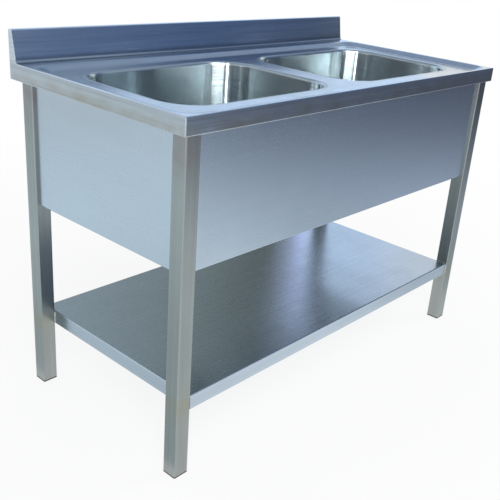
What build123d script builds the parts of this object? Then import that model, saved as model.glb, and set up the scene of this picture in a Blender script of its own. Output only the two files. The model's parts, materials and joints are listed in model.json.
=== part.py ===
from build123d import *
import os

# A free-standing commercial sink in stainless steel, in millimetres.
# The origin is on the floor under the middle of the worktop. +X runs to the right along the front,
# +Y runs to the splashback and +Z is up.

# Sheet and tube stock
sheet = 1.2
tube_wall = 1.5
fold_radius = 2.5
corner_radius = 2.0
joint_clearance = 0.3

# How far a face may lie from a stated level and still count as being on it
level_tolerance = 0.001

# Bowls
bowl_length = 500.0
bowl_width = 380.0
bowl_depth = 250.0
bowl_corner_radius = 85.0
bowl_floor_radius = 40.0
bowl_lip_radius = 8.0
bowl_land = 6.0
bowl_gap = 84.0

# Worktop
deck_height = 850.0
side_margin = 83.0
front_margin = 92.0
rear_margin = 111.0
fascia_height = 40.0
hem_clearance = 0.8
rim_width = 10.0
rear_ledge = 43.0
recess_depth = 11.0
step_run = 26.0
step_radius = 18.0
recess_corner_radius = 50.0

# Splashback
splash_height = 75.0
splash_base = 27.0
splash_top = 15.0
cove_radius = 8.0

# Legs
leg_side = 40.0
leg_corner_radius = 3.0
leg_front_inset = 10.0
leg_side_inset = 12.0
leg_rear_inset = 30.0

# Aprons and the frame rails behind them
apron_drop = 299.0
apron_setback = 8.0
apron_return = 15.0
rail_depth = 25.0
rail_height = 30.0
brace_width = 30.0

# Undershelf
shelf_height = 207.0
shelf_flange = 37.0
shelf_setback = 4.0
shelf_return = 10.0
stiffener_spacing = 280.0
stiffener_crown = 40.0
stiffener_depth = 20.0
stiffener_flange = 15.0

# Levelling feet
plug_flange = 4.0
plug_grip = 25.0
plug_corner_radius = 2.0
plug_clearance = 0.1
floor_clearance = 1.0
pad_radius = 15.0
pad_height = 5.0
pad_edge = 1.0
pad_clearance = 1.0
socket_depth = 3.0
stud_head_radius = 6.0
stud_radius = 5.0
stud_collar_height = 5.0
stud_collar_radius = 7.5
stud_collar_sides = 6
stud_length = 55.0
stud_chamfer = 1.0
running_clearance = 0.05

# Waste fitting
drain_seat_depth = 4.0
drain_seat_clearance = 1.0
drain_hole_clearance = 2.0
flange_radius = 57.0
flange_thickness = 1.5
gasket_thickness = 1.5
gasket_edge = 1.0
cup_radius = 43.0
cup_wall = 2.0
cup_depth = 50.0
cup_ledge_depth = 16.0
cup_ledge_width = 4.0
spigot_radius = 23.5
spigot_length = 18.0
outlet_radius = 20.0
washer_thickness = 3.0
locknut_height = 11.0
locknut_lug = 5.0
locknut_lugs = 6
tail_radius = 20.0
tail_wall = 1.8
tail_length = 93.0
tail_flange_thickness = 3.0
tail_bead_radius = 21.5
tail_bead_height = 3.0
tail_bead_round = 1.2
tail_bead_gap = 1.0
tail_washer_thickness = 2.0
slip_nut_wall = 6.0
slip_nut_lip = 4.0
slip_nut_engagement = 10.0
slip_nut_sides = 8

# Lift-out basket
basket_clearance = 1.0
basket_wall = 1.2
basket_depth = 24.0
basket_hole_radius = 2.6
basket_inner_holes = 5
basket_outer_holes = 10
basket_hole_pitch = 9.0
post_radius = 3.0
post_collar_radius = 6.0
post_collar_height = 2.0
post_tail = 4.0
knob_radius = 9.0
knob_height = 8.0
knob_edge = 2.5
knob_rise = 2.0
stopper_lip = 6.0
stopper_stem_radius = 7.0
stopper_disc_height = 5.0

# Overall sizes that follow from the bowls and the margins around them
deck_length = 2 * (bowl_length + side_margin) + bowl_gap
deck_depth = front_margin + bowl_width + rear_margin + splash_base
right_edge = deck_length / 2
front_edge = -deck_depth / 2
back_edge = deck_depth / 2
splash_foot = back_edge - splash_base

# Levels
fascia_bottom = deck_height - fascia_height
recess_level = deck_height - recess_depth
recess_underside = recess_level - sheet
bowl_floor = recess_level - bowl_depth
apron_bottom = fascia_bottom - apron_drop
leg_bottom = floor_clearance + plug_flange

# Leg faces
leg_outer_x = right_edge - leg_side_inset
leg_inner_x = leg_outer_x - leg_side
front_leg_face = front_edge + leg_front_inset
front_leg_back = front_leg_face + leg_side
rear_leg_back = back_edge - leg_rear_inset
rear_leg_face = rear_leg_back - leg_side

# Bowl centres
bowl_offset = (bowl_length + bowl_gap) / 2
bowl_centre_y = front_edge + front_margin + bowl_width / 2
bowl_centres = {"left": -bowl_offset, "right": bowl_offset}

# Leg centres
leg_centre_x = leg_outer_x - leg_side / 2
leg_centres = {
    "front_left": (-leg_centre_x, front_leg_face + leg_side / 2),
    "front_right": (leg_centre_x, front_leg_face + leg_side / 2),
    "rear_left": (-leg_centre_x, rear_leg_back - leg_side / 2),
    "rear_right": (leg_centre_x, rear_leg_back - leg_side / 2),
}


def block(x0, x1, y0, y1, z0, z1):
    """A box between six planes."""
    centre = Pos((x0 + x1) / 2, (y0 + y1) / 2, (z0 + z1) / 2)
    return centre * Box(x1 - x0, y1 - y0, z1 - z0)


def rounded_slab(length, width, radius, z0, z1):
    """A plate with round corners, centred on the Z axis."""
    return Pos(0, 0, z0) * extrude(RectangleRounded(length, width, radius), z1 - z0)


def disc(radius, z0, z1):
    """A cylinder on the Z axis between two levels."""
    return Pos(0, 0, (z0 + z1) / 2) * Cylinder(radius, z1 - z0)


def ring(outer_radius, inner_radius, z0, z1):
    """A flat ring on the Z axis between two levels."""
    return disc(outer_radius, z0, z1) - disc(inner_radius, z0, z1)


def level_face(solid, level):
    """The largest flat face of a solid at a height."""
    low = level - level_tolerance
    high = level + level_tolerance
    flat = solid.faces().filter_by(Axis.Z).filter_by_position(Axis.Z, low, high)
    return flat.sort_by(SortBy.AREA)[-1]


def side_outline():
    """The outline of the fascia, deck and splashback, seen from the right."""
    points = [
        (front_edge, fascia_bottom),
        (front_edge, deck_height),
        (splash_foot, deck_height),
        (back_edge - splash_top, deck_height + splash_height),
        (back_edge, deck_height + splash_height),
        (back_edge, fascia_bottom),
    ]
    radii = [fold_radius, fold_radius, cove_radius, fold_radius, fold_radius, fold_radius]
    return make_face(FilletPolyline(*points, radius=radii, close=True))


def recess_section(inset, level):
    """A level section through the recess, inset from its top edge."""
    x_half = right_edge - rim_width - inset
    y_low = front_edge + rim_width + inset
    y_high = splash_foot - rear_ledge - inset
    outline = RectangleRounded(2 * x_half, y_high - y_low, recess_corner_radius - inset)
    return Pos(0, (y_low + y_high) / 2, level) * outline


def recessed_body(outline, length, lowered):
    """The outline drawn out along X, with round ends and the stepped recess pressed into its top face."""
    body = extrude(Plane.YZ * outline, length / 2, both=True)
    body = fillet(body.faces().filter_by(Axis.X).edges(), corner_radius - lowered)
    top = deck_height - lowered
    floor = recess_level - lowered
    sections = [recess_section(0, top), recess_section(step_run, floor)]
    body = body - loft(sections, ruled=True)

    rim_edges = level_face(body, top).inner_wires()[0].edges()
    floor_edges = level_face(body, floor).outer_wire().edges()
    return fillet(rim_edges + floor_edges, step_radius)


def make_worktop_and_caps():
    """The folded and pressed sheet, and the two caps that close the splashback's ends."""
    outside = recessed_body(side_outline(), deck_length, 0)
    inside = recessed_body(offset(side_outline(), -sheet), deck_length - 2 * sheet, sheet)
    hem = min(leg_front_inset, leg_side_inset, leg_rear_inset) - hem_clearance
    underneath = block(hem - right_edge, right_edge - hem, front_edge + hem, back_edge - hem,
                       fascia_bottom, fascia_bottom + 2 * sheet)
    worktop = outside - inside - underneath
    reach = bowl_lip_radius + bowl_land
    opening = rounded_slab(bowl_length + 2 * reach, bowl_width + 2 * reach, bowl_corner_radius + reach,
                           recess_level - 2 * sheet, recess_level + sheet)
    for centre_x in bowl_centres.values():
        worktop = worktop - Pos(centre_x, bowl_centre_y, 0) * opening

    caps = {}
    cap_foot = deck_height + cove_radius + sheet
    cap_top = deck_height + splash_height + sheet
    for side, sign in (("left", -1), ("right", 1)):
        outer_face = sign * right_edge
        inner_face = sign * (right_edge - sheet)
        end = block(min(outer_face, inner_face), max(outer_face, inner_face), splash_foot, back_edge,
                    cap_foot, cap_top)
        caps["splashback_cap_" + side] = outside & end
        worktop = worktop - end
    return {"worktop": worktop, **caps}


def bowl_body(shell, level):
    """A bowl shape grown by shell and lowered to level: a land over a rounded tub, with a round lip."""
    reach = bowl_lip_radius + bowl_land
    length = bowl_length + 2 * shell
    width = bowl_width + 2 * shell
    tub = rounded_slab(length, width, bowl_corner_radius + shell, bowl_floor - shell, level)
    tub = fillet(tub.faces().sort_by(Axis.Z)[0].edges(), bowl_floor_radius + shell)
    land = rounded_slab(bowl_length + 2 * reach, bowl_width + 2 * reach, bowl_corner_radius + reach,
                        level, level + sheet)
    body = tub + land

    mouth = level_face(body, level).inner_wires()[0]
    return fillet(mouth.edges(), bowl_lip_radius - shell)


def make_bowl():
    """One drawn bowl on the Z axis: a land and a round lip, four walls, a floor and the drain seat."""
    bowl = bowl_body(sheet, recess_underside) - bowl_body(0, recess_level)
    seat_radius = flange_radius + drain_seat_clearance
    seat_level = bowl_floor - drain_seat_depth
    bowl = bowl + disc(seat_radius + sheet, seat_level - sheet, bowl_floor - sheet / 2)
    bowl = bowl - disc(seat_radius, seat_level, bowl_floor + sheet)
    return bowl - disc(cup_radius + drain_hole_clearance, seat_level - 2 * sheet, bowl_floor)


def make_waste():
    """The basket waste of one bowl, on the Z axis."""
    seat_level = bowl_floor - drain_seat_depth
    flange_level = seat_level + gasket_thickness
    flange_top = flange_level + flange_thickness
    cup_floor = flange_top - cup_depth
    cup_bottom = cup_floor - cup_wall
    ledge_level = flange_top - cup_ledge_depth
    spigot_end = cup_bottom - spigot_length
    cup_inside = cup_radius - cup_wall
    basket_well = cup_inside - cup_ledge_width

    strainer = disc(flange_radius, flange_level, flange_top)
    strainer = strainer + disc(cup_radius, cup_bottom, flange_level)
    strainer = strainer + disc(spigot_radius, spigot_end, cup_bottom)
    strainer = strainer - disc(cup_inside, ledge_level, flange_top)
    strainer = strainer - disc(basket_well, cup_floor, ledge_level)
    strainer = strainer - disc(outlet_radius, spigot_end, cup_floor)

    hole_radius = cup_radius + drain_hole_clearance
    gasket = ring(flange_radius - gasket_edge, hole_radius, seat_level, flange_level)

    washer_top = seat_level - sheet
    locknut_top = washer_top - washer_thickness
    washer = ring(flange_radius, hole_radius, locknut_top, washer_top)
    locknut_bottom = locknut_top - locknut_height
    lug = block(0, flange_radius + locknut_lug, -locknut_lug, locknut_lug, locknut_bottom, locknut_top)
    locknut = disc(flange_radius, locknut_bottom, locknut_top)
    for step in range(locknut_lugs):
        locknut = locknut + Rot(0, 0, step * 360 / locknut_lugs) * lug
    locknut = locknut - disc(cup_radius + joint_clearance, locknut_bottom, locknut_top)

    tail_flange_top = spigot_end - tail_washer_thickness
    tail_flange_bottom = tail_flange_top - tail_flange_thickness
    tail_washer = ring(spigot_radius, outlet_radius, tail_flange_top, spigot_end)
    tail_end = tail_flange_bottom - tail_length
    nut_bottom = tail_flange_bottom - slip_nut_lip
    nut_top = spigot_end + slip_nut_engagement
    bead_top = nut_bottom - tail_bead_gap
    bead = fillet(disc(tail_bead_radius, bead_top - tail_bead_height, bead_top).edges(), tail_bead_round)
    tailpiece = disc(spigot_radius, tail_flange_bottom, tail_flange_top)
    tailpiece = tailpiece + disc(tail_radius, tail_end, tail_flange_bottom) + bead
    tailpiece = tailpiece - disc(tail_radius - tail_wall, tail_end, tail_flange_top)

    nut_bore = spigot_radius + joint_clearance
    nut_shape = RegularPolygon(nut_bore + slip_nut_wall, slip_nut_sides, major_radius=False)
    slip_nut = Pos(0, 0, nut_bottom) * extrude(nut_shape, nut_top - nut_bottom)
    slip_nut = slip_nut - disc(nut_bore, tail_flange_bottom, nut_top)
    slip_nut = slip_nut - disc(tail_radius + joint_clearance, nut_bottom, tail_flange_bottom)

    basket, post, stopper = make_basket(cup_inside, basket_well, ledge_level, cup_floor)
    return {
        "strainer_body": strainer,
        "strainer_gasket": gasket,
        "strainer_washer": washer,
        "strainer_locknut": locknut,
        "tail_washer": tail_washer,
        "tailpiece": tailpiece,
        "slip_nut": slip_nut,
        "basket": basket,
        "basket_post": post,
        "basket_stopper": stopper,
    }


def make_basket(cup_inside, basket_well, ledge_level, cup_floor):
    """The lift-out basket that hangs on the cup's ledge, its knobbed post and the rubber stopper under it."""
    rim_radius = cup_inside - basket_clearance
    wall_radius = basket_well - basket_clearance
    rim_top = ledge_level + basket_wall
    bottom = ledge_level - basket_depth
    floor_top = bottom + basket_wall
    post_hole = post_radius + running_clearance
    basket = ring(rim_radius, wall_radius - basket_wall, ledge_level, rim_top)
    basket = basket + ring(wall_radius, wall_radius - basket_wall, bottom, ledge_level)
    basket = basket + ring(wall_radius - basket_wall, post_hole, bottom, floor_top)
    outer_pitch = wall_radius - basket_hole_pitch
    inner_pitch = outer_pitch - basket_hole_pitch
    for radius, count in ((outer_pitch, basket_outer_holes), (inner_pitch, basket_inner_holes)):
        for place in PolarLocations(radius, count):
            basket = basket - place * disc(basket_hole_radius, bottom, floor_top)

    knob_top = bowl_floor + knob_rise
    knob_bottom = knob_top - knob_height
    knob = disc(knob_radius, knob_bottom, knob_top)
    post = fillet(knob.edges().filter_by(GeomType.CIRCLE), knob_edge)
    post = post + disc(post_radius, bottom - post_tail, knob_bottom)
    post = post + disc(post_collar_radius, floor_top, floor_top + post_collar_height)

    stopper_bottom = cup_floor + joint_clearance
    stopper_disc_top = stopper_bottom + stopper_disc_height
    stopper = disc(outlet_radius + stopper_lip, stopper_bottom, stopper_disc_top)
    stopper = stopper + disc(stopper_stem_radius, stopper_disc_top, bottom)
    stopper = stopper - disc(post_hole, bottom - post_tail, bottom)
    return basket, post, stopper


def make_leg():
    """One square tube leg, on the Z axis."""
    bore = leg_side - 2 * tube_wall
    tube = RectangleRounded(leg_side, leg_side, leg_corner_radius)
    tube = tube - RectangleRounded(bore, bore, leg_corner_radius - tube_wall)
    return Pos(0, 0, leg_bottom) * extrude(tube, recess_underside - leg_bottom)


def make_foot():
    """The end plug of one leg with its levelling stud and pad, on the Z axis."""
    collar_bottom = pad_height + joint_clearance
    collar_top = collar_bottom + stud_collar_height
    well_top = collar_top + joint_clearance
    grip_side = leg_side - 2 * tube_wall - 2 * plug_clearance
    plug_top = leg_bottom + plug_grip
    plug = rounded_slab(leg_side, leg_side, leg_corner_radius, floor_clearance, leg_bottom)
    plug = plug + rounded_slab(grip_side, grip_side, plug_corner_radius, leg_bottom, plug_top)
    plug = plug - disc(pad_radius + pad_clearance, floor_clearance, well_top)
    plug = plug - disc(stud_radius + running_clearance, well_top, plug_top)

    socket_floor = pad_height - socket_depth
    pad = disc(pad_radius, 0, pad_height)
    pad = fillet(pad.edges().filter_by(GeomType.CIRCLE), pad_edge)
    pad = pad - disc(stud_head_radius + running_clearance, socket_floor, pad_height)

    collar = extrude(RegularPolygon(stud_collar_radius, stud_collar_sides), stud_collar_height)
    stud = disc(stud_head_radius, socket_floor, collar_bottom)
    stud = stud + Pos(0, 0, collar_bottom) * collar
    stud = stud + disc(stud_radius, collar_top, collar_top + stud_length)
    stud = chamfer(stud.edges().sort_by(Axis.Z)[-1], stud_chamfer)
    return {"leg_plug": plug, "foot_pad": pad, "foot_stud": stud}


def make_aprons():
    """The front and side panels between the legs, each with a return folded along its bottom."""
    height = recess_underside - apron_bottom
    points = [(0, 0), (0, height), (sheet, height), (sheet, sheet), (apron_return, sheet), (apron_return, 0)]
    radii = [fold_radius, 0, 0, fold_radius - sheet, 0, 0]
    section = make_face(FilletPolyline(*points, radius=radii, close=True))
    front_length = 2 * leg_inner_x
    side_length = rear_leg_face - front_leg_back
    front_y = front_leg_face + apron_setback
    side_x = leg_outer_x - apron_setback
    front_plane = Plane((-leg_inner_x, front_y, apron_bottom), x_dir=(0, 1, 0), z_dir=(1, 0, 0))
    left_plane = Plane((-side_x, rear_leg_face, apron_bottom), x_dir=(1, 0, 0), z_dir=(0, -1, 0))
    left = extrude(left_plane * section, side_length)
    return {
        "front_apron": extrude(front_plane * section, front_length),
        "left_apron": left,
        "right_apron": mirror(left, Plane.YZ),
    }


def hollow_section(x0, x1, y0, y1, z0, z1, along):
    """A rectangular tube between six planes, open at both ends of the named axis."""
    wall_x = 0 if along == "X" else tube_wall
    wall_y = 0 if along == "Y" else tube_wall
    bore = block(x0 + wall_x, x1 - wall_x, y0 + wall_y, y1 - wall_y, z0 + tube_wall, z1 - tube_wall)
    return block(x0, x1, y0, y1, z0, z1) - bore


def make_rails():
    """The top frame that carries the worktop."""
    top = recess_underside
    bottom = top - rail_height
    front_near = front_leg_face + apron_setback + sheet
    front_far = front_near + rail_depth
    rear_near = rear_leg_back - rail_depth
    rear_top = deck_height - sheet
    side_outer = leg_outer_x - apron_setback - sheet
    side_inner = side_outer - rail_depth
    rear_bottom = rear_top - rail_height
    brace_x = brace_width / 2
    front = hollow_section(-leg_inner_x, leg_inner_x, front_near, front_far, bottom, top, "X")
    rear = hollow_section(-leg_inner_x, leg_inner_x, rear_near, rear_leg_back, rear_bottom, rear_top, "X")
    left = hollow_section(-side_outer, -side_inner, front_leg_back, rear_leg_face, bottom, top, "Y")
    return {
        "front_rail": front,
        "rear_rail": rear,
        "left_rail": left,
        "right_rail": mirror(left, Plane.YZ),
        "centre_brace": hollow_section(-brace_x, brace_x, front_far, rear_near, bottom, top, "Y"),
    }


def make_shelf():
    """The folded tray between the legs and the two hat stiffeners under it."""
    near = front_leg_face + shelf_setback
    far = rear_leg_back
    bottom = shelf_height - shelf_flange
    outside = block(-leg_inner_x, leg_inner_x, near, far, bottom, shelf_height)
    outside = fillet(outside.faces().sort_by(Axis.Z)[-1].edges(), fold_radius)
    inside = block(sheet - leg_inner_x, leg_inner_x - sheet, near + sheet, far - sheet,
                   bottom + sheet, shelf_height - sheet)
    inside = fillet(inside.faces().sort_by(Axis.Z)[-1].edges(), fold_radius - sheet)
    underneath = block(shelf_return - leg_inner_x, leg_inner_x - shelf_return, near + shelf_return,
                       far - shelf_return, bottom, bottom + 2 * sheet)
    parts = {"undershelf": outside - inside - underneath}

    end = leg_inner_x - fold_radius - joint_clearance
    middle = (near + far) / 2
    top = shelf_height - sheet
    bottom = top - stiffener_depth
    crown = stiffener_crown / 2
    wing = crown + stiffener_flange
    hat = block(-end, end, -wing, wing, top - sheet, top) + block(-end, end, -crown, crown, bottom, top)
    hat = hat - block(-end, end, sheet - crown, crown - sheet, bottom + sheet, top)
    for place, sign in (("front", -1), ("rear", 1)):
        parts["shelf_stiffener_" + place] = Pos(0, middle + sign * stiffener_spacing / 2, 0) * hat
    return parts


def make_parts():
    """Every piece of the sink at its place, by name."""
    parts = make_worktop_and_caps()
    parts.update(make_aprons())
    parts.update(make_rails())
    parts.update(make_shelf())

    bowl = make_bowl()
    waste = make_waste()
    for side, centre_x in bowl_centres.items():
        place = Pos(centre_x, bowl_centre_y, 0)
        parts["bowl_" + side] = place * bowl
        for name, piece in waste.items():
            parts[name + "_" + side] = place * piece

    leg = make_leg()
    foot = make_foot()
    for corner, (centre_x, centre_y) in leg_centres.items():
        place = Pos(centre_x, centre_y, 0)
        parts["leg_" + corner] = place * leg
        for name, piece in foot.items():
            parts[name + "_" + corner] = place * piece
    return parts


os.makedirs("parts", exist_ok=True)
for name, piece in make_parts().items():
    export_step(piece, os.path.join("parts", name + ".step"))
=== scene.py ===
import json
import math
import bmesh
import bpy
from mathutils import Matrix, Vector


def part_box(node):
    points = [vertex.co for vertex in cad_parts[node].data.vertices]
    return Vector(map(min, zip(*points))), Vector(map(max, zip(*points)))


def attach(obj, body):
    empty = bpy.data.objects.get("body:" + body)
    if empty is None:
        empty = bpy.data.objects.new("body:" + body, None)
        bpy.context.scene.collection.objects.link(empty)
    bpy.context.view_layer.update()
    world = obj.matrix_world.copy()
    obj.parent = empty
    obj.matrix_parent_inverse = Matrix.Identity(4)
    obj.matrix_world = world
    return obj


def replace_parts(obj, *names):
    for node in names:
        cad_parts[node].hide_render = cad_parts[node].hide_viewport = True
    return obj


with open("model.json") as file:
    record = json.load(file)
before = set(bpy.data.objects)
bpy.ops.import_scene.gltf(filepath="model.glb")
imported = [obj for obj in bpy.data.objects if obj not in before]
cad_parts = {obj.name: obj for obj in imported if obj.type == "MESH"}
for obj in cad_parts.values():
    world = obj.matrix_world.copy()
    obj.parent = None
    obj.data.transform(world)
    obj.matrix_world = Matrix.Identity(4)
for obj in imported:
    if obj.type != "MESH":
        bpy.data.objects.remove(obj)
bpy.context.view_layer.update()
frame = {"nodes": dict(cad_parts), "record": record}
scene = bpy.context.scene
nodes = frame["nodes"]

sides = ("left", "right")
corners = ("front_left", "front_right", "rear_left", "rear_right")
white = (1.0, 1.0, 1.0, 1.0)

# Noise: its roughness, and the span that most of its values fall in
noise_roughness = 0.6
noise_low = 0.3
noise_high = 0.7

# Brushed steel: features per metre across and along the brush, and the detail of the noise
fine_lines = (700.0, 6.0, 3.0)
broad_bands = (90.0, 0.9, 4.0)
polish_clouds = (7.0, 7.0, 7.0)
cloud_detail = 5.0
cloud_share = 0.35
line_share = 0.5
cloud_polish = 0.03
line_depth = 0.0004
upright_limit = 0.7

# Stains, painted highlights along the edges and painted shade in inside corners
stain_patches = (13.0, 13.0, 30.0)
stain_detail = 4.0
stain_least = 0.1
edge_reach = 0.003
edge_match = (0.995, 0.9)
painted_edge_highlight = (0.86, 0.90, 0.92)
crease_reach = 0.02
crease_light = (0.97, 0.78)
painted_crease_shade = (0.06, 0.075, 0.10)

# Plastic and rubber
dust_patches = (40.0, 40.0, 40.0)
dust_polish = 0.08
grain_depth = 0.0002


# Node helpers
def add(tree, kind, **inputs):
    """A shader node with some of its input sockets set."""
    node = tree.nodes.new(kind)
    for name, value in inputs.items():
        node.inputs[name].default_value = value
    return node


def blank_material(name):
    """A node material with no nodes, and its output node."""
    material = bpy.data.materials.new(name)
    material.use_nodes = True
    tree = material.node_tree
    tree.nodes.clear()
    output = tree.nodes.new("ShaderNodeOutputMaterial")
    return material, tree, output


def shaded_material(name):
    """A material with one shader, which is still to be set."""
    material, tree, output = blank_material(name)
    shader = tree.nodes.new("ShaderNodeBsdfPrincipled")
    tree.links.new(shader.outputs["BSDF"], output.inputs["Surface"])
    return material, tree, shader


def compute(tree, operation, *values):
    """One sum with sockets and numbers."""
    node = tree.nodes.new("ShaderNodeMath")
    node.operation = operation
    for socket, value in zip(node.inputs, values):
        if isinstance(value, float):
            socket.default_value = value
        else:
            tree.links.new(value, socket)
    return node.outputs["Value"]


def remap(tree, value, start, end, low, high):
    """A value moved from one span, start to end, to another, low to high, and kept inside it."""
    span = tree.nodes.new("ShaderNodeMapRange")
    span.inputs["From Min"].default_value = start
    span.inputs["From Max"].default_value = end
    span.inputs["To Min"].default_value = low
    span.inputs["To Max"].default_value = high
    tree.links.new(value, span.inputs["Value"])
    return span.outputs["Result"]


def spread(tree, value, low, high):
    """A noise value stretched from its usual span to a new span."""
    return remap(tree, value, noise_low, noise_high, low, high)


def noise(tree, scale, detail):
    """Noise over the object's own coordinates, with a scale in features per metre on each axis."""
    place = tree.nodes.new("ShaderNodeTexCoord")
    mapping = tree.nodes.new("ShaderNodeMapping")
    mapping.inputs["Scale"].default_value = scale
    pattern = add(tree, "ShaderNodeTexNoise", Scale=1.0, Detail=detail, Roughness=noise_roughness)
    tree.links.new(place.outputs["Object"], mapping.inputs["Vector"])
    tree.links.new(mapping.outputs["Vector"], pattern.inputs["Vector"])
    return pattern.outputs["Fac"]


def mix(tree, share, first, second):
    """Two colours mixed by a share. Each is a colour or a socket."""
    node = tree.nodes.new("ShaderNodeMix")
    node.data_type = "RGBA"
    sockets = [socket for socket in node.inputs if socket.type == "RGBA"]
    for socket, colour in zip(sockets, (first, second)):
        if isinstance(colour, tuple):
            socket.default_value = (*colour, 1.0)
        else:
            tree.links.new(colour, socket)
    tree.links.new(share, node.inputs["Factor"])
    return [socket for socket in node.outputs if socket.type == "RGBA"][0]


def pick(tree, share, first, second, kind):
    """One of two values or vectors, by a share of nought or one."""
    node = tree.nodes.new("ShaderNodeMix")
    node.data_type = kind
    socket_kind = "VALUE" if kind == "FLOAT" else kind
    ways = [socket for socket in node.inputs if socket.type == socket_kind and socket.name in "AB"]
    tree.links.new(share, node.inputs["Factor"])
    tree.links.new(first, ways[0])
    tree.links.new(second, ways[1])
    return [socket for socket in node.outputs if socket.type == socket_kind][0]


def shade(colour, factor):
    """A colour made darker or lighter."""
    return tuple(channel * factor for channel in colour)


def face_up(tree):
    """One on faces that look up or down, and nought on upright ones."""
    surface = tree.nodes.new("ShaderNodeNewGeometry")
    split = tree.nodes.new("ShaderNodeSeparateXYZ")
    tree.links.new(surface.outputs["True Normal"], split.inputs["Vector"])
    size = compute(tree, "ABSOLUTE", split.outputs["Z"])
    return compute(tree, "GREATER_THAN", size, upright_limit)


def tangent(tree, axis):
    """The direction round one axis of the piece."""
    node = tree.nodes.new("ShaderNodeTangent")
    node.direction_type = "RADIAL"
    node.axis = axis
    return node.outputs["Tangent"]


def streaks(tree, flat, way, brush):
    """Noise drawn out along the brush lines: up the piece, or level on its walls and along X on its tops."""
    across, along, detail = brush
    if way == "up":
        return noise(tree, (across, across, along), detail)
    walls = noise(tree, (along, along, across), detail)
    tops = noise(tree, (along, across, across), detail)
    return pick(tree, flat, walls, tops, "FLOAT")


def height_band(tree, middle, reach):
    """A share that is highest at one height, fades out above and below it, and is broken into patches."""
    place = tree.nodes.new("ShaderNodeTexCoord")
    split = tree.nodes.new("ShaderNodeSeparateXYZ")
    tree.links.new(place.outputs["Object"], split.inputs["Vector"])
    rise = compute(tree, "SUBTRACT", split.outputs["Z"], middle)
    fade = remap(tree, compute(tree, "ABSOLUTE", rise), 0.0, reach, 1.0, 0.0)
    patches = spread(tree, noise(tree, stain_patches, stain_detail), stain_least, 1.0)
    return compute(tree, "MULTIPLY", fade, patches)


def edge_share(tree, most):
    """A share that is highest along the folds and edges, for a painted highlight there."""
    rounded = add(tree, "ShaderNodeBevel", Radius=edge_reach)
    rounded.samples = 4
    surface = tree.nodes.new("ShaderNodeNewGeometry")
    match = tree.nodes.new("ShaderNodeVectorMath")
    match.operation = "DOT_PRODUCT"
    tree.links.new(rounded.outputs["Normal"], match.inputs[0])
    tree.links.new(surface.outputs["Normal"], match.inputs[1])
    return remap(tree, match.outputs["Value"], *edge_match, 0.0, most)


def crease_share(tree, most):
    """A share that is highest in inside corners, where light is shut out, for painted shade there."""
    shut = add(tree, "ShaderNodeAmbientOcclusion", Distance=crease_reach)
    shut.samples = 8
    shut.only_local = True
    return remap(tree, shut.outputs["AO"], *crease_light, 0.0, most)


# Finishes
def brushed_steel(name, base, roughness, way, contrast=0.06, bump=0.05, smear=0.6, grain=0.04, edge=0.0,
                  crease=0.0, stains=()):
    """Satin steel with brush lines one way, over soft cloudy changes of polish.

    edge is the share of painted highlight along the edges and crease the share of painted shade in inside
    corners.
    stains gives a colour, a height and a reach each.
    """
    material, tree, shader = shaded_material(name)
    flat = face_up(tree)
    lines = streaks(tree, flat, way, fine_lines)
    bands = streaks(tree, flat, way, broad_bands)
    cloud = noise(tree, polish_clouds, cloud_detail)

    colour = mix(tree, spread(tree, bands, 0.0, 1.0), shade(base, 1 - contrast), shade(base, 1 + contrast))
    colour = mix(tree, spread(tree, cloud, 0.0, cloud_share), colour, shade(base, 1 - 1.5 * contrast))
    colour = mix(tree, spread(tree, lines, 0.0, line_share), colour, shade(base, 1 + 1.5 * contrast))
    for stain, middle, reach in stains:
        colour = mix(tree, height_band(tree, middle, reach), colour, stain)
    # Painted highlight: the folds and edges are lightened as if they caught the light
    if edge:
        colour = mix(tree, edge_share(tree, edge), colour, painted_edge_highlight)
    # Painted shade: inside corners are darkened by ambient occlusion
    if crease:
        colour = mix(tree, crease_share(tree, crease), colour, painted_crease_shade)
    tree.links.new(colour, shader.inputs["Base Color"])

    fine_polish = spread(tree, lines, roughness - grain, roughness + grain)
    polish = compute(tree, "ADD", fine_polish, spread(tree, cloud, -cloud_polish, cloud_polish))
    tree.links.new(polish, shader.inputs["Roughness"])
    relief = add(tree, "ShaderNodeBump", Strength=bump, Distance=line_depth)
    tree.links.new(lines, relief.inputs["Height"])
    tree.links.new(relief.outputs["Normal"], shader.inputs["Normal"])
    shader.inputs["Metallic"].default_value = 1.0
    shader.inputs["Anisotropic"].default_value = smear
    shader.inputs["Anisotropic Rotation"].default_value = 0.0 if way == "up" else 0.25
    brush = pick(tree, flat, tangent(tree, "Z"), tangent(tree, "Y"), "VECTOR")
    tree.links.new(brush, shader.inputs["Tangent"])
    return material


def moulded(name, base, roughness, grain):
    """Black plastic or rubber with a fine moulded grain and dusty patches."""
    material, tree, shader = shaded_material(name)
    speck = noise(tree, (grain, grain, grain), 4.0)
    dust = noise(tree, dust_patches, 5.0)
    colour = mix(tree, spread(tree, dust, 0.0, 1.0), shade(base, 0.8), shade(base, 1.5))
    polish = spread(tree, dust, roughness - dust_polish, roughness + dust_polish)
    relief = add(tree, "ShaderNodeBump", Strength=0.15, Distance=grain_depth)
    tree.links.new(colour, shader.inputs["Base Color"])
    tree.links.new(polish, shader.inputs["Roughness"])
    tree.links.new(speck, relief.inputs["Height"])
    tree.links.new(relief.outputs["Normal"], shader.inputs["Normal"])
    return material


fascia_stain = ((0.42, 0.415, 0.385), 0.812, 0.042)
shelf_weld_stain = ((0.33, 0.335, 0.27), 0.188, 0.06)
# A darker, greyer band round the top of the legs
leg_top_dark_band = ((0.30, 0.28, 0.29), 0.79, 0.09)

# The blue cast of the worktop, apron and shelf base colours is a painted reflection of a bluish surround
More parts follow.
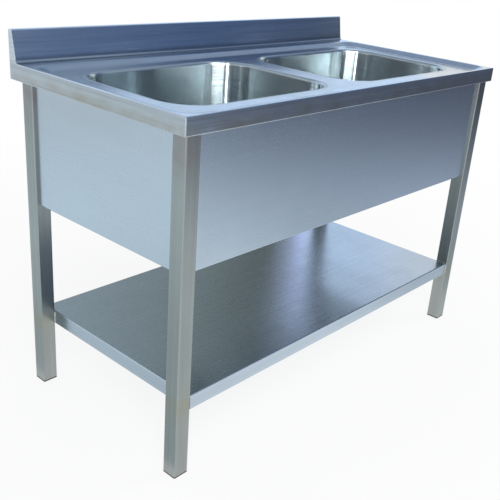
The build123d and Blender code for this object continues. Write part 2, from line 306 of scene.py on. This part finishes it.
finishes = {
    "worktop_steel": brushed_steel(
        "worktop_steel", (0.50, 0.575, 0.655), 0.19, "level",
        contrast=0.14, smear=0.5, edge=0.5, crease=0.6, stains=[fascia_stain]),
    "apron_steel": brushed_steel(
        "apron_steel", (0.50, 0.575, 0.655), 0.26, "level",
        contrast=0.02, bump=0.004, grain=0.015, edge=0.3),
    "shelf_steel": brushed_steel(
        "shelf_steel", (0.50, 0.57, 0.64), 0.27, "level",
        bump=0.03, edge=0.4),
    "tube_steel": brushed_steel(
        "tube_steel", (0.32, 0.35, 0.345), 0.32, "up",
        contrast=0.13, smear=0.3, edge=0.35, stains=[shelf_weld_stain, leg_top_dark_band]),
    "bowl_steel": brushed_steel(
        "bowl_steel", (0.46, 0.515, 0.535), 0.20, "level",
        smear=1.0, grain=0.03),
    "waste_steel": brushed_steel(
        "waste_steel", (0.66, 0.67, 0.69), 0.12, "up",
        contrast=0.03, bump=0.02, smear=0.2),
    "zinc_steel": brushed_steel(
        "zinc_steel", (0.56, 0.58, 0.6), 0.32, "up",
        smear=0.2),
    "black_plastic": moulded("black_plastic", (0.028, 0.028, 0.03), 0.5, 900.0),
    "black_rubber": moulded("black_rubber", (0.022, 0.022, 0.024), 0.75, 1500.0),
}
for part in frame["record"]["subparts"]:
    piece = nodes[part["node"]]
    piece.data.materials.clear()
    piece.data.materials.append(finishes[part["material_slot"]])


# Welds and threads
def weld_finish(name):
    """A weld bead's rippled silver, with straw and blue heat colours."""
    material, tree, shader = shaded_material(name)
    heat = noise(tree, (120.0, 120.0, 120.0), 3.0)
    cloud = noise(tree, (40.0, 40.0, 40.0), 4.0)
    straw = mix(tree, spread(tree, heat, 0.0, 1.0), (0.50, 0.46, 0.36), (0.36, 0.39, 0.46))
    colour = mix(tree, spread(tree, cloud, 0.0, 0.7), straw, (0.60, 0.61, 0.60))
    relief = add(tree, "ShaderNodeBump", Strength=0.2, Distance=0.0003)
    tree.links.new(colour, shader.inputs["Base Color"])
    tree.links.new(spread(tree, heat, 0.3, 0.48), shader.inputs["Roughness"])
    tree.links.new(heat, relief.inputs["Height"])
    tree.links.new(relief.outputs["Normal"], shader.inputs["Normal"])
    shader.inputs["Metallic"].default_value = 1.0
    return material


def ringed_mesh(name, rings):
    """A closed mesh over rings of points that all have the same count."""
    count = len(rings[0])
    points = [point for ring in rings for point in ring]
    faces = []
    for step in range(len(rings) - 1):
        low, high = step * count, (step + 1) * count
        for index in range(count):
            after = (index + 1) % count
            faces.append((low + index, low + after, high + after, high + index))
    faces.append(tuple(range(count - 1, -1, -1)))
    last = (len(rings) - 1) * count
    faces.append(tuple(range(last, last + count)))
    mesh = bpy.data.meshes.new(name)
    mesh.from_pydata(points, [], faces)
    shape = bmesh.new()
    shape.from_mesh(mesh)
    bmesh.ops.recalc_face_normals(shape, faces=shape.faces)
    shape.to_mesh(mesh)
    shape.free()
    mesh.polygons.foreach_set("use_smooth", [True] * len(mesh.polygons))
    mesh.set_sharp_from_angle(angle=math.radians(40))
    return mesh


def rigid_piece(name, mesh, material, body):
    """A piece of the object with its material and its body."""
    piece = bpy.data.objects.new(name, mesh)
    scene.collection.objects.link(piece)
    mesh.materials.append(material)
    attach(piece, body)
    return piece


# Weld bead: its size, the pitch of its ripples, and shares for its ends, ripples, belly and crescents
weld_size = 0.0032
top_weld_size = 0.0042
weld_inset = 0.001
weld_pitch = 0.0018
weld_rings = 4
weld_arc = 6
weld_end = 0.45
weld_ripple = 0.14
weld_belly = 0.22
weld_crescent = 0.35
fold_radius = 0.0025
weld_steel = weld_finish("weld_steel")


def weld_bead(name, start, end, first, second, size):
    """A fillet weld along a line in a corner.

    It lies between two faces that run from the line in the first and second directions.
    """
    start, end, first, second = Vector(start), Vector(end), Vector(first), Vector(second)
    length = (end - start).length
    along = (end - start).normalized()
    steps = max(8, round(length / weld_pitch * weld_rings))
    rings = []
    for step in range(steps + 1):
        run = step / steps * length
        ripple = abs(math.sin(math.pi * run / weld_pitch))
        taper = min(1.0, weld_end + min(run, length - run) / (2 * size))
        reach = size * taper * (1 - weld_ripple + weld_ripple * ripple)
        ring = [start + along * run]
        for turn in range(weld_arc + 1):
            angle = math.pi / 2 * turn / weld_arc
            bulge = reach * (1 - weld_belly + weld_belly * abs(math.cos(2 * angle)))
            crescent = weld_crescent * weld_pitch * math.sin(2 * angle)
            shift = along * min(max(run + crescent, 0.0), length)
            ring.append(start + shift + (first * math.cos(angle) + second * math.sin(angle)) * bulge)
        rings.append(ring)
    return rigid_piece(name, ringed_mesh(name, rings), weld_steel, "sink")


shelf_low, shelf_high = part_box("undershelf")
weld_bottom = shelf_low[2] + weld_inset
weld_top = shelf_high[2] - fold_radius
shelf_top = shelf_high[2] - weld_inset
for side, sign in zip(sides, (-1, 1)):
    for place, away in (("front", 1), ("rear", -1)):
        leg_low, leg_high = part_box("leg_%s_%s" % (place, side))
        inner_x = leg_high[0] if side == "left" else leg_low[0]
        face_y = leg_high[1] if place == "front" else leg_low[1]
        edge_y = shelf_low[1] + fold_radius if place == "front" else shelf_high[1] - fold_radius
        weld_bead("weld_side_%s_%s" % (place, side),
                  (inner_x, face_y, weld_bottom), (inner_x, face_y, weld_top),
                  (sign, 0, 0), (0, away, 0), weld_size)
        weld_bead("weld_top_%s_%s" % (place, side),
                  (inner_x, edge_y, shelf_top), (inner_x, face_y, shelf_top),
                  (-sign, 0, 0), (0, 0, 1), top_weld_size)
        if place == "front":
            front_y = shelf_low[1]
            weld_bead("weld_front_" + side,
                      (inner_x, front_y, weld_bottom), (inner_x, front_y, weld_top),
                      (0, -1, 0), (-sign, 0, 0), weld_size)

# Levelling stud: its thread, its head in the pad, and its hexagon collar
thread_pitch = 0.0015
thread_points = 24
thread_rings = 6
thread_crest = 0.00498
thread_root = 0.0041
thread_tip = 0.004
crest_half = 0.125
flank_fall = 3.2 / 1.5
head_radius = 0.006
head_edge = 0.0004
collar_radius = 0.0075
collar_rise = 0.0033
collar_height = 0.005
collar_chamfer = 0.0006


def round_ring(centre_x, centre_y, z, radius):
    """One level ring of points about an upright axis, where the radius may change with the angle."""
    ring = []
    for index in range(thread_points):
        angle = 2 * math.pi * index / thread_points
        reach = radius(angle) if callable(radius) else radius
        ring.append((centre_x + reach * math.cos(angle), centre_y + reach * math.sin(angle), z))
    return ring


def hexagon(angle):
    """The radius of the collar's hexagon by angle, with two of its points on the axis of X."""
    flat = collar_radius * math.cos(math.pi / 6)
    return flat / math.cos((angle + math.pi / 6) % (math.pi / 3) - math.pi / 6)


def eased_hexagon(angle):
    """The hexagon's radius on the collar's ends, where its points are cut off."""
    return min(collar_radius - collar_chamfer, hexagon(angle))


def thread_radius(z, most):
    """The radius of the screw thread by angle at one height."""
    def reach(angle):
        turn = (z / thread_pitch - angle / (2 * math.pi)) % 1.0
        crest = min(1.0, 1.0 - (abs(turn - 0.5) - crest_half) * flank_fall)
        return min(most, thread_root + (thread_crest - thread_root) * crest)
    return reach


def threaded_stud(corner):
    """The levelling stud of one foot: its head, its hexagon and its threaded shank."""
    low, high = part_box("foot_stud_" + corner)
    x, y = (low[0] + high[0]) / 2, (low[1] + high[1]) / 2
    collar_low = low[2] + collar_rise
    collar_high = collar_low + collar_height
    profile = [
        (low[2], head_radius - head_edge),
        (low[2] + head_edge, head_radius),
        (collar_low, head_radius),
        (collar_low, eased_hexagon),
        (collar_low + collar_chamfer, hexagon),
        (collar_high - collar_chamfer, hexagon),
        (collar_high, eased_hexagon),
        (collar_high, thread_root),
    ]
    shank = high[2] - collar_high
    steps = round(shank / thread_pitch * thread_rings)
    for step in range(1, steps + 1):
        z = collar_high + shank * step / steps
        profile.append((z, thread_radius(z, thread_tip + (high[2] - z))))
    rings = [round_ring(x, y, z, radius) for z, radius in profile]
    name = "threaded_stud_" + corner
    stud = rigid_piece(name, ringed_mesh(name, rings), finishes["zinc_steel"], "stud_" + corner)
    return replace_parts(stud, "foot_stud_" + corner)


for corner in corners:
    threaded_stud(corner)


# Studio cards
def seen_directly(tree):
    """One for rays that see the background straight, in a mirror or through glass, and nought for others."""
    path = tree.nodes.new("ShaderNodeLightPath")
    straight = compute(tree, "MAXIMUM", path.outputs["Is Camera Ray"], path.outputs["Is Glossy Ray"])
    return compute(tree, "MAXIMUM", straight, path.outputs["Is Transmission Ray"])


def one_sided(tree, output, front):
    """A surface whose back lets light through."""
    clear = tree.nodes.new("ShaderNodeBsdfTransparent")
    side = tree.nodes.new("ShaderNodeNewGeometry")
    faced = tree.nodes.new("ShaderNodeMixShader")
    tree.links.new(side.outputs["Backfacing"], faced.inputs[0])
    tree.links.new(front, faced.inputs[1])
    tree.links.new(clear.outputs["BSDF"], faced.inputs[2])
    tree.links.new(faced.outputs["Shader"], output.inputs["Surface"])


def glow_material(name, slope, stops, strength):
    """The face of a studio card, whose colours run over its height and along one line on the floor.

    slope gives the share of each axis in the place on the ramp, and stops gives a place and a colour each.
    """
    material, tree, output = blank_material(name)
    place = tree.nodes.new("ShaderNodeTexCoord")
    run = tree.nodes.new("ShaderNodeVectorMath")
    run.operation = "DOT_PRODUCT"
    run.inputs[1].default_value = slope
    low, high = stops[0][0], stops[-1][0]
    ramp = tree.nodes.new("ShaderNodeValToRGB")
    points = ramp.color_ramp.elements
    while len(points) < len(stops):
        points.new(0.5)
    for point, (where, colour) in zip(points, stops):
        point.position = (where - low) / (high - low)
        point.color = (*colour, 1.0)
    glow = add(tree, "ShaderNodeEmission", Strength=strength)
    tree.links.new(place.outputs["Object"], run.inputs[0])
    tree.links.new(remap(tree, run.outputs["Value"], low, high, 0.0, 1.0), ramp.inputs["Fac"])
    tree.links.new(ramp.outputs["Color"], glow.inputs["Color"])
    one_sided(tree, output, glow.outputs["Emission"])
    return material


def card(name, outline, slope, stops, strength=1.0, lights=None):
    """A studio card that only reflections see, in all the pieces or in one group of them."""
    mesh = bpy.data.meshes.new(name)
    mesh.from_pydata(outline, [], [(0, 1, 2, 3)])
    panel = bpy.data.objects.new(name, mesh)
    scene.collection.objects.link(panel)
    mesh.materials.append(glow_material(name, slope, stops, strength))
    panel.visible_camera = False
    panel.visible_diffuse = False
    panel.visible_transmission = False
    panel.visible_shadow = False
    if lights:
        panel.light_linking.receiver_collection = lights
    return panel


card_lift = 0.002


def level(x0, x1, y0, y1):
    """The corners of a card that lies just over the floor."""
    return [(x0, y0, card_lift), (x1, y0, card_lift), (x1, y1, card_lift), (x0, y1, card_lift)]


def overhead(x0, x1, y0, y1, z):
    """The corners of a level card that faces down."""
    return [(x0, y0, z), (x0, y1, z), (x1, y1, z), (x1, y0, z)]


def upright(x0, y0, x1, y1, z0, z1):
    """The corners of an upright card over a line on the floor."""
    return [(x0, y0, z0), (x1, y1, z0), (x1, y1, z1), (x0, y0, z1)]


along_x = (1.0, 0.0, 0.0)
along_z = (0.0, 0.0, 1.0)

# A dark wall to the right, which falls off towards the front
card("card_right", upright(1.3, -0.12, 1.3, -5.0, 0.0, 3.2), (0.0, -0.25, 1.0), [
    (0.25, (0.60, 0.66, 0.75)),
    (0.41, (0.48, 0.53, 0.62)),
    (0.58, (0.28, 0.31, 0.375)),
    (0.73, (0.16, 0.18, 0.22)),
    (0.91, (0.10, 0.112, 0.15)),
    (1.03, (0.10, 0.13, 0.20)),
    (1.38, (0.10, 0.15, 0.28)),
    (2.20, (0.17, 0.23, 0.37)),
    (3.20, (0.72, 0.80, 0.90)),
])

# A low panel behind the legs, which the shelf mirrors
card("card_rear", upright(-0.6, 0.33, 0.6, 0.33, 0.0, 0.80), along_x, [
    (-0.6, (0.42, 0.48, 0.50)),
    (0.0, (0.27, 0.31, 0.30)),
    (0.40, (0.13, 0.15, 0.13)),
    (0.52, (0.42, 0.46, 0.56)),
    (0.6, (0.95, 1.05, 1.6)),
])

# The far wall and the ceiling, which the deck mirrors
card("card_back", upright(-2.0, 3.0, 6.0, 3.0, 0.0, 4.0), along_z, [
    (0.0, (0.75, 0.91, 1.14)),
    (4.0, (0.84, 1.01, 1.22)),
])
card("card_ceiling", overhead(-4.0, 5.0, -5.0, 3.0, 3.3), along_x, [
    (-4.0, (0.40, 0.48, 0.60)),
    (5.0, (0.34, 0.42, 0.56)),
])

# Windows to the front, which only the bowls mirror
bowl_group = bpy.data.collections.new("bowl_group")
for side in sides:
    bowl_group.objects.link(nodes["bowl_" + side])
card("card_window", upright(0.45, -2.0, -1.35, -2.0, 1.2, 2.6), along_z, [
    (1.2, (0.97, 1.0, 1.0)),
    (2.6, (0.97, 1.0, 1.0)),
], strength=21.0, lights=bowl_group)
card("card_window_side", upright(-1.35, -2.0, -4.5, -2.0, 1.2, 2.6), along_x, [
    (-4.5, (0.35, 0.38, 0.40)),
    (-1.35, (0.92, 0.97, 1.0)),
], strength=1.3, lights=bowl_group)
card("card_streak", upright(-1.93, -1.98, -2.2, -1.98, 1.2, 2.8), along_x, [
    (-2.2, (0.0, 0.0, 0.0)),
    (-2.16, (0.92, 1.0, 1.02)),
    (-2.02, (0.92, 1.0, 1.02)),
    (-1.93, (0.0, 0.0, 0.0)),
], strength=180.0, lights=bowl_group)

# The floor in front and to the left, which the aprons and legs mirror
card("card_floor_front", level(-0.4, 1.3, -3.0, -0.4), along_x, [
    (-0.4, (0.90, 0.95, 0.96)),
    (0.15, (0.98, 1.03, 1.05)),
    (0.45, (0.86, 0.92, 0.96)),
    (0.75, (0.66, 0.72, 0.77)),
    (1.3, (0.56, 0.62, 0.68)),
])
card("card_floor_left", level(-4.5, -0.64, -0.4, 4.5), (-0.58, 0.81, 0.0), [
    (0.1, (0.60, 0.66, 0.70)),
    (0.9, (0.68, 0.76, 0.80)),
    (1.6, (0.84, 0.95, 1.0)),
    (2.7, (0.80, 0.92, 0.98)),
    (3.2, (0.66, 0.71, 0.70)),
    (4.6, (0.62, 0.67, 0.66)),
])

# World
world = bpy.data.worlds.new("studio")
scene.world = world
world.use_nodes = True
sky = world.node_tree
sky.nodes.clear()
sky_output = sky.nodes.new("ShaderNodeOutputWorld")
sky_light = add(sky, "ShaderNodeBackground", Strength=0.65, Color=(0.95, 0.97, 1.0, 1.0))
sky_white = add(sky, "ShaderNodeBackground", Strength=1.0, Color=white)
sky_mix = sky.nodes.new("ShaderNodeMixShader")
sky.links.new(seen_directly(sky), sky_mix.inputs[0])
sky.links.new(sky_light.outputs["Background"], sky_mix.inputs[1])
sky.links.new(sky_white.outputs["Background"], sky_mix.inputs[2])
sky.links.new(sky_mix.outputs["Shader"], sky_output.inputs["Surface"])

# Floor: a pale paint near the object, which takes its shadow, and white further out
floor_half = 9.0
floor_near = 0.7
floor_far = 2.6
floor_white_near = 0.86


def floor_finish(name):
    """The floor's paint, which turns to the background's white with the distance from the object."""
    material, tree, output = blank_material(name)
    paint = add(tree, "ShaderNodeBsdfDiffuse", Color=(0.94, 0.94, 0.94, 1.0))
    plain_white = add(tree, "ShaderNodeEmission", Strength=1.0, Color=white)
    place = tree.nodes.new("ShaderNodeTexCoord")
    distance = tree.nodes.new("ShaderNodeVectorMath")
    distance.operation = "LENGTH"
    blend = tree.nodes.new("ShaderNodeMixShader")
    tree.links.new(place.outputs["Object"], distance.inputs[0])
    fade = remap(tree, distance.outputs["Value"], floor_near, floor_far, floor_white_near, 1.0)
    tree.links.new(compute(tree, "MULTIPLY", seen_directly(tree), fade), blend.inputs[0])
    tree.links.new(paint.outputs["BSDF"], blend.inputs[1])
    tree.links.new(plain_white.outputs["Emission"], blend.inputs[2])
    one_sided(tree, output, blend.outputs["Shader"])
    return material


floor_mesh = bpy.data.meshes.new("floor")
floor_signs = [(-1, -1), (1, -1), (1, 1), (-1, 1)]
floor_mesh.from_pydata([(x * floor_half, y * floor_half, 0.0) for x, y in floor_signs], [], [(0, 1, 2, 3)])
floor_mesh.materials.append(floor_finish("floor"))
floor = bpy.data.objects.new("floor", floor_mesh)
scene.collection.objects.link(floor)


# Lamps
def soft_lamp(name, place, aim, size, watts):
    """A large square lamp that points at a place and shows in no reflection."""
    lamp = bpy.data.lights.new(name, "AREA")
    lamp.size = size
    lamp.energy = watts
    holder = bpy.data.objects.new(name, lamp)
    scene.collection.objects.link(holder)
    holder.location = place
    holder.rotation_euler = (Vector(aim) - Vector(place)).to_track_quat("-Z", "Y").to_euler()
    holder.visible_glossy = False


soft_lamp("key_lamp", (-2.2, -2.4, 3.0), (0, 0, 0.6), 1.6, 55.0)
soft_lamp("fill_lamp", (2.6, -1.6, 2.4), (0, 0, 0.5), 1.8, 25.0)

# Camera
camera_place = Vector((-1.55006, -1.31315, 1.17852))
view_direction = Vector((0.710881, 0.591573, -0.38038)).normalized()
roll = math.radians(4.945)
image_side = 500.0
focal_pixels = 747.2
level_right = view_direction.cross(Vector((0, 0, 1))).normalized()
level_up = level_right.cross(view_direction)
right = level_right * math.cos(roll) + level_up * math.sin(roll)
up = level_up * math.cos(roll) - level_right * math.sin(roll)
camera_data = bpy.data.cameras.new("camera")
camera_data.sensor_width = 36.0
camera_data.lens = focal_pixels / image_side * camera_data.sensor_width
camera_data.shift_x = -0.05
camera_data.shift_y = -0.02
camera = bpy.data.objects.new("camera", camera_data)
scene.collection.objects.link(camera)
turn = Matrix((right, up, -view_direction)).transposed()
camera.matrix_world = Matrix.Translation(camera_place) @ turn.to_4x4()
scene.camera = camera
scene.view_settings.view_transform = "Standard"
